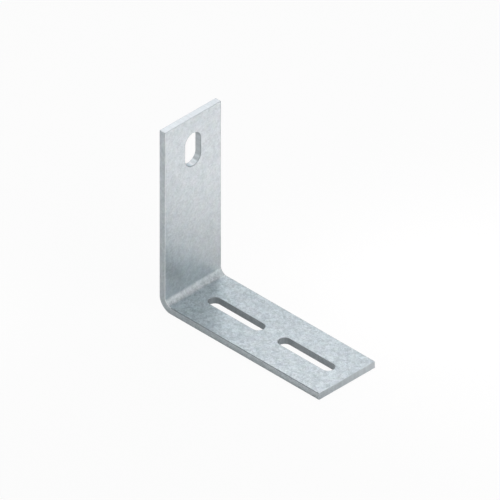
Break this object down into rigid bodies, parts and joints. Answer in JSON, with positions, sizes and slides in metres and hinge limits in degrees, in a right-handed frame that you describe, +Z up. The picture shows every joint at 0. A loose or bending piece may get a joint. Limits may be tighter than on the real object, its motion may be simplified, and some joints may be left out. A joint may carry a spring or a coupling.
{
  "type": "cable tray bracket",
  "caption": "Folded steel angle bracket with a stem slot for a wall bolt and long slots in the foot for bolting a cable tray down.",
  "frame": {"origin": "on the plane that the foot stands on, under the middle of the bracket's length and width", "axes": "+X along the foot, away from the wall; +Y across the strip; +Z up the stem, away from the foot"},
  "size_m": [0.114, 0.04, 0.11],
  "materials": {
    "zinc_coated_steel": "hot-dip galvanised, dull and finely mottled"
  },
  "bodies": {
    "root": {"bracket": "zinc_coated_steel"}
  },
  "joints": []
}
